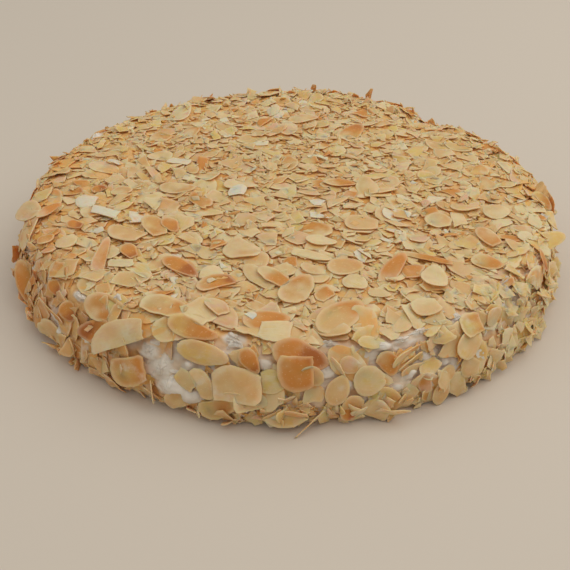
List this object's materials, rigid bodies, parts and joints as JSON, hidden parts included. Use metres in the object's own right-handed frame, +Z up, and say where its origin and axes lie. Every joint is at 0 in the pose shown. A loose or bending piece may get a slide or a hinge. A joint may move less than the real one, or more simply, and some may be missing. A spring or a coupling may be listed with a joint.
{
  "type": "almond torte",
  "caption": "Round, low, uncut torte with a spread cream coat, covered on its top and side with toasted sliced almonds.",
  "frame": {"origin": "middle of the torte's flat foot, on the surface that it stands on", "axes": "+Z up out of the top, -Y towards the side that faces the viewer, +X to the viewer's right"},
  "size_m": [0.28, 0.2801, 0.0453],
  "materials": {
    "almonds_and_cream": "toasted sliced almonds, pale ivory to orange-brown, over matt white whipped cream"
  },
  "bodies": {
    "root": {"torte": "almonds_and_cream"}
  },
  "joints": []
}
